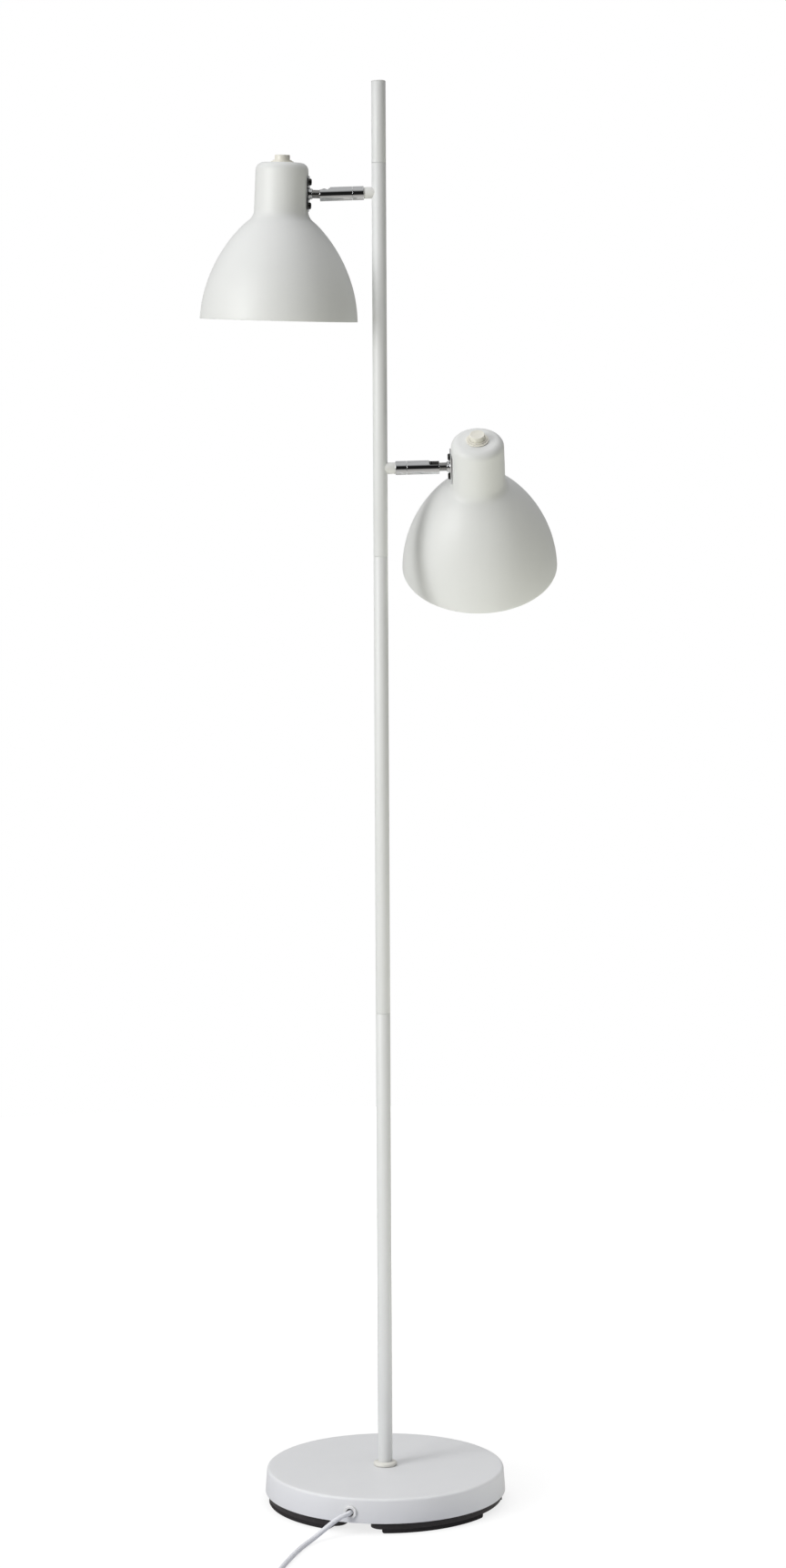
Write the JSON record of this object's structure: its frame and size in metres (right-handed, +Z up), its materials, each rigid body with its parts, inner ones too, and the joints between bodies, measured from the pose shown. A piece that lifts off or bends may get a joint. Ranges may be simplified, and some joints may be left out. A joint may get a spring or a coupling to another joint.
{
  "type": "two-headed floor lamp",
  "caption": "Floor lamp with bell shades on ball-jointed arms along a slim sectioned pole, standing on a round weighted base; each shade has a push button on its neck.",
  "frame": {"origin": "centre of the round base on the floor, under the pole's axis", "axes": "+Z up along the pole; +X towards the lower arm; -Y towards the viewer and the cord"},
  "size_m": [0.3765, 0.499, 1.48],
  "materials": {
    "base_cover": "satin white paint",
    "base_weight": "black cast weight, stone-filled",
    "foot_pads": "matte black foam rubber",
    "base_collar": "cream moulded plastic",
    "base_pipe": "zinc plated threaded pipe",
    "base_nut": "zinc plated nut and washer",
    "cord_grommet": "white moulded plastic",
    "cord_clamp": "black moulded plastic",
    "inner_lead": "white sleeved twin lead",
    "pole_lower": "satin white paint on steel tube",
    "pole_middle": "satin white paint on steel tube",
    "pole_upper": "satin white paint on steel tube",
    "pole_top": "satin white paint on steel tube",
    "pole_cap": "white moulded plastic",
    "pole_sockets": "tapped steel inserts",
    "pole_studs": "hollow steel studs",
    "upper_arm_anchor": "tapped steel plug",
    "upper_arm_pipe": "zinc plated threaded pipe",
    "upper_spacer": "cream moulded plastic",
    "upper_swivel_collar": "polished chrome",
    "upper_swivel_nut": "zinc plated round nut",
    "upper_barrel": "polished chrome",
    "upper_spring_washers": "spring steel",
    "upper_ball_seat": "natural plastic",
    "upper_ball_stud": "polished chrome",
    "upper_stud_nuts": "polished chrome",
    "upper_mount_plate": "polished chrome",
    "upper_plate_screws": "polished chrome",
    "upper_holder_bracket": "zinc plated sheet steel",
    "upper_shade": "satin white paint, inside and out",
    "upper_switch_body": "cream moulded plastic",
    "upper_ring_nut": "cream moulded plastic",
    "upper_button": "cream moulded plastic",
    "upper_lampholder": "white moulded plastic",
    "upper_socket_contacts": "brass screw shell and contact",
    "lower_arm_anchor": "tapped steel plug",
    "lower_arm_pipe": "zinc plated threaded pipe",
    "lower_spacer": "cream moulded plastic",
    "lower_swivel_collar": "polished chrome",
    "lower_swivel_nut": "zinc plated round nut",
    "lower_barrel": "polished chrome",
    "lower_spring_washers": "spring steel",
    "lower_ball_seat": "natural plastic",
    "lower_ball_stud": "polished chrome",
    "lower_stud_nuts": "polished chrome",
    "lower_mount_plate": "polished chrome",
    "lower_plate_screws": "polished chrome",
    "lower_holder_bracket": "zinc plated sheet steel",
    "lower_shade": "satin white paint, inside and out",
    "lower_switch_body": "cream moulded plastic",
    "lower_ring_nut": "cream moulded plastic",
    "lower_button": "cream moulded plastic",
    "lower_lampholder": "white moulded plastic",
    "lower_socket_contacts": "brass screw shell and contact",
    "cord": "white sheathed mains cord",
    "cord_coil": "white sheathed mains cord",
    "cord_tie": "black band",
    "plug_body": "white moulded plug",
    "plug_pins": "nickel plated pins"
  },
  "bodies": {
    "stand": {"base_cover": "base_cover", "base_weight": "base_weight", "foot_pads": "foot_pads", "base_collar": "base_collar", "base_pipe": "base_pipe", "base_nut": "base_nut", "cord_grommet": "cord_grommet", "cord_clamp": "cord_clamp", "inner_lead": "inner_lead", "pole_lower": "pole_lower", "pole_middle": "pole_middle", "pole_upper": "pole_upper", "pole_top": "pole_top", "pole_cap": "pole_cap", "pole_sockets": "pole_sockets", "pole_studs": "pole_studs", "upper_arm_anchor": "upper_arm_anchor", "upper_arm_pipe": "upper_arm_pipe", "upper_spacer": "upper_spacer", "upper_swivel_collar": "upper_swivel_collar", "upper_swivel_nut": "upper_swivel_nut", "lower_arm_anchor": "lower_arm_anchor", "lower_arm_pipe": "lower_arm_pipe", "lower_spacer": "lower_spacer", "lower_swivel_collar": "lower_swivel_collar", "lower_swivel_nut": "lower_swivel_nut", "cord": "cord", "cord_coil": "cord_coil", "cord_tie": "cord_tie", "plug_body": "plug_body", "plug_pins": "plug_pins"},
    "upper_barrel": {"upper_barrel": "upper_barrel", "upper_spring_washers": "upper_spring_washers", "upper_ball_seat": "upper_ball_seat"},
    "upper_ball": {"upper_ball_stud": "upper_ball_stud"},
    "upper_head": {"upper_stud_nuts": "upper_stud_nuts", "upper_mount_plate": "upper_mount_plate", "upper_plate_screws": "upper_plate_screws", "upper_holder_bracket": "upper_holder_bracket", "upper_shade": "upper_shade", "upper_switch_body": "upper_switch_body", "upper_ring_nut": "upper_ring_nut", "upper_lampholder": "upper_lampholder", "upper_socket_contacts": "upper_socket_contacts"},
    "upper_button": {"upper_button": "upper_button"},
    "lower_barrel": {"lower_barrel": "lower_barrel", "lower_spring_washers": "lower_spring_washers", "lower_ball_seat": "lower_ball_seat"},
    "lower_ball": {"lower_ball_stud": "lower_ball_stud"},
    "lower_head": {"lower_stud_nuts": "lower_stud_nuts", "lower_mount_plate": "lower_mount_plate", "lower_plate_screws": "lower_plate_screws", "lower_holder_bracket": "lower_holder_bracket", "lower_shade": "lower_shade", "lower_switch_body": "lower_switch_body", "lower_ring_nut": "lower_ring_nut", "lower_lampholder": "lower_lampholder", "lower_socket_contacts": "lower_socket_contacts"},
    "lower_button": {"lower_button": "lower_button"}
  },
  "joints": [
    {"name": "upper_swivel", "type": "hinge", "parent": "stand", "child": "upper_barrel", "pos_m": [-0.05718, 0, 1.3616], "axis": [-0.9996, 0, -0.0279], "range_deg": [-165, 165]},
    {"name": "upper_tilt", "type": "hinge", "parent": "upper_barrel", "child": "upper_ball", "pos_m": [-0.05718, 0, 1.3616], "axis": [0, 1, 0], "range_deg": [-4, 86]},
    {"name": "upper_spin", "type": "hinge", "parent": "upper_ball", "child": "upper_head", "pos_m": [-0.05718, 0, 1.3616], "axis": [-0.9975, 0.0609, 0.035], "range_deg": [-90, 90]},
    {"name": "upper_press", "type": "slide", "parent": "upper_head", "child": "upper_button", "axis": [-0.0299, 0.0821, -0.9962], "range_m": [0, 0.0025], "stiffness_N_per_m": 600, "springref_m": -0.001},
    {"name": "lower_swivel", "type": "hinge", "parent": "stand", "child": "lower_barrel", "pos_m": [0.05719, 0, 1.0763], "axis": [0.9998, 0, 0.0209], "range_deg": [-165, 165]},
    {"name": "lower_tilt", "type": "hinge", "parent": "lower_barrel", "child": "lower_ball", "pos_m": [0.05719, 0, 1.0763], "axis": [0.0078, -0.9272, -0.3745], "range_deg": [-4, 86]},
    {"name": "lower_spin", "type": "hinge", "parent": "lower_ball", "child": "lower_head", "pos_m": [0.05719, 0, 1.0763], "axis": [0.9994, 0, 0.0349], "range_deg": [-90, 90]},
    {"name": "lower_press", "type": "slide", "parent": "lower_head", "child": "lower_button", "axis": [0.0275, 0.6157, -0.7875], "range_m": [0, 0.0025], "stiffness_N_per_m": 600, "springref_m": -0.001}
  ]
}
